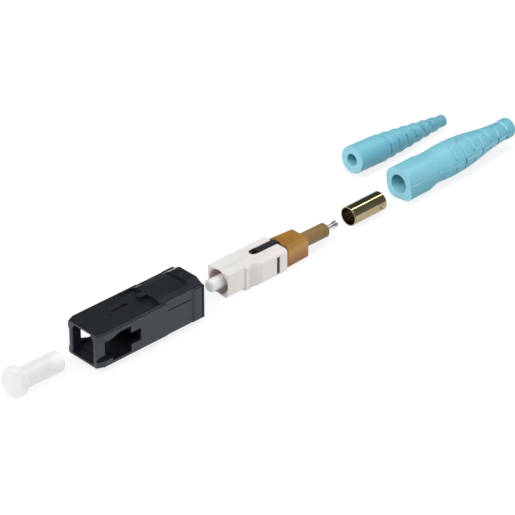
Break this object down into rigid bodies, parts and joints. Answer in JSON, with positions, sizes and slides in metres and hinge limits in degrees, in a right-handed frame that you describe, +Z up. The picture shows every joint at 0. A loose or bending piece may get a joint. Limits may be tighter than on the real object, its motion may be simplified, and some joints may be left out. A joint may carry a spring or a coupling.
{
  "type": "fibre optic connector kit",
  "caption": "Push-pull fibre connector laid out in pieces: cap, housing, sprung ferrule plug with crimp body, crimp sleeve, boots.",
  "frame": {"origin": "on the table, under the middle of the kit", "axes": "+X along the plug, from its ferrule to the cable end; +Z up"},
  "size_m": [0.1322, 0.0236, 0.0089],
  "materials": {
    "clear_plastic": "clear, moulded",
    "black_plastic": "satin moulded",
    "white_plastic": "semi-gloss moulded",
    "white_ceramic": "ground and polished ceramic",
    "nickel": "nickel plated",
    "steel": "drawn",
    "black_barrel": "black",
    "amber_plastic": "natural amber, satin",
    "gilt_brass": "polished",
    "aqua_rubber": "satin moulded"
  },
  "bodies": {
    "kit": {"plug_frame": "white_plastic", "spring": "steel", "spring_barrel": "black_barrel", "crimp_body": "amber_plastic", "dust_cap": "clear_plastic", "outer_housing": "black_plastic", "crimp_sleeve": "gilt_brass", "buffer_boot": "aqua_rubber", "cable_boot": "aqua_rubber"},
    "ferrule_unit": {"ferrule": "white_ceramic", "ferrule_flange": "nickel", "guide_tube": "steel"}
  },
  "joints": [
    {"name": "ferrule_float", "type": "slide", "parent": "kit", "child": "ferrule_unit", "axis": [1, 0, 0], "range_m": [0, 0.0015], "stiffness_N_per_m": 1500, "springref_m": -0.004, "deforming": ["spring"]}
  ]
}
